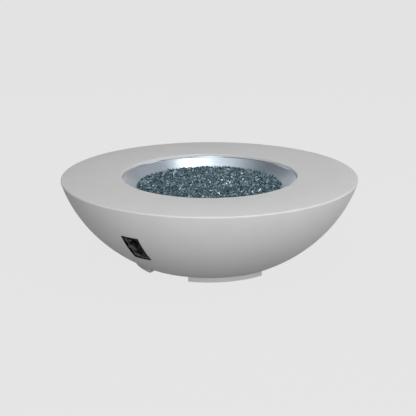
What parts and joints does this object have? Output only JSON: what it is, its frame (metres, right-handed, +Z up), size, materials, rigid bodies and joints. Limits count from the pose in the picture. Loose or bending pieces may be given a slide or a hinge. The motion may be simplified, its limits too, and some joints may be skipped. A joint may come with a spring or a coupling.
{
  "type": "gas fire bowl",
  "caption": "Round free-standing gas fire bowl with a wide flat rim, a drop-in burner pan of crushed glass, and a side panel with a valve knob and an igniter button.",
  "frame": {"origin": "on the ground under the centre of the bowl", "axes": "+Z up; the control panel faces -Y; +X to the right of someone who faces the panel"},
  "size_m": [1.0656, 1.0655, 0.315],
  "materials": {
    "cast_stone": "smooth cast fibre cement, satin sealed",
    "pad_rubber": "moulded rubber",
    "pan_steel": "spun stainless, fine turning lines",
    "crushed_glass": "tumbled broken tempered glass, reflective grey blue",
    "burner_steel": "stainless tube, heat tinted",
    "panel_black": "black powder coat, satin",
    "knob_plastic": "moulded phenolic, satin black",
    "igniter_plastic": "moulded plastic, black",
    "brass": "machined",
    "machined_steel": "machined, zinc plated",
    "black_screws": "black oxide",
    "plated_screws": "zinc plated",
    "spring_steel": "drawn wire",
    "mixer_aluminium": "die cast",
    "hose_rubber": "extruded gas hose",
    "copper_lead": "drawn copper capillary",
    "wire_sleeve": "silicone sleeved wire",
    "ceramic": "glazed alumina",
    "battery_label": "plain battery jacket"
  },
  "bodies": {
    "root": {"air_mixer": "mixer_aluminium", "battery": "battery_label", "battery_spring": "spring_steel", "bowl_shell": "cast_stone", "bracket_screws": "plated_screws", "burner_hose": "hose_rubber", "burner_hose_nuts": "brass", "burner_nipple": "machined_steel", "burner_ring": "burner_steel", "button_spring": "spring_steel", "contact_disc": "brass", "dish_locknuts": "machined_steel", "dish_washers": "pan_steel", "electrode_ceramic": "ceramic", "electrode_rod": "burner_steel", "fire_dish": "pan_steel", "fire_glass": "crushed_glass", "foot_pads": "pad_rubber", "gas_orifice": "brass", "igniter_barrel": "igniter_plastic", "igniter_nut": "igniter_plastic", "igniter_wire": "wire_sleeve", "ignition_bracket": "burner_steel", "ignition_screws": "plated_screws", "inlet_bracket": "machined_steel", "inlet_fitting": "brass", "inlet_hose": "hose_rubber", "inlet_hose_nuts": "brass", "inlet_locknut": "brass", "magnet_housing": "brass", "nipple_elbow": "machined_steel", "panel_frame": "panel_black", "panel_plate": "panel_black", "panel_screws": "black_screws", "stem_spring": "spring_steel", "thermocouple_lead": "copper_lead", "thermocouple_nut": "brass", "thermocouple_tip": "burner_steel", "valve_body": "brass", "valve_bonnet": "brass", "valve_elbow": "brass", "valve_screws": "black_screws"},
    "spring_seat": {"stem_washer": "machined_steel"},
    "knob_set": {"knob": "knob_plastic", "valve_stem": "machined_steel"},
    "plug": {"valve_plug": "brass"},
    "plunger": {"magnet_plunger": "machined_steel"},
    "battery_cap": {"igniter_cap": "igniter_plastic"},
    "button": {"igniter_button": "igniter_plastic"},
    "shutter": {"air_shutter": "mixer_aluminium"}
  },
  "joints": [
    {"name": "knob_push", "type": "slide", "parent": "root", "child": "spring_seat", "axis": [0, 0.7843, 0.6203], "range_m": [0, 0.003], "stiffness_N_per_m": 1500, "springref_m": -0.004, "deforming": ["stem_spring"]},
    {"name": "knob_turn", "type": "hinge", "parent": "spring_seat", "child": "knob_set", "pos_m": [0, -0.46593, 0.17622], "axis": [0, -0.7843, -0.6203], "range_deg": [0, 180]},
    {"name": "plug_turn", "type": "hinge", "parent": "root", "child": "plug", "pos_m": [0, -0.4377, 0.19855], "axis": [0, -0.7843, -0.6203], "range_deg": [0, 180]},
    {"name": "plunger_push", "type": "slide", "parent": "root", "child": "plunger", "axis": [0, 0.7843, 0.6203], "range_m": [0, 0.003]},
    {"name": "battery_cap_turn", "type": "hinge", "parent": "root", "child": "battery_cap", "pos_m": [0, -0.43678, 0.13936], "axis": [0, -0.7843, -0.6203], "range_deg": [0, 60]},
    {"name": "igniter_push", "type": "slide", "parent": "battery_cap", "child": "button", "axis": [0, 0.7843, 0.6203], "range_m": [0, 0.003], "stiffness_N_per_m": 900, "springref_m": -0.003, "deforming": ["button_spring"]},
    {"name": "air_shutter_turn", "type": "hinge", "parent": "root", "child": "shutter", "pos_m": [0, -0.078, 0.188], "axis": [0, -1, 0], "range_deg": [0, 45]}
  ],
  "couplings": [
    {"joint": "plug_turn", "follows": "knob_turn", "ratio": 1},
    {"joint": "plunger_push", "follows": "knob_push", "ratio": 1}
  ]
}
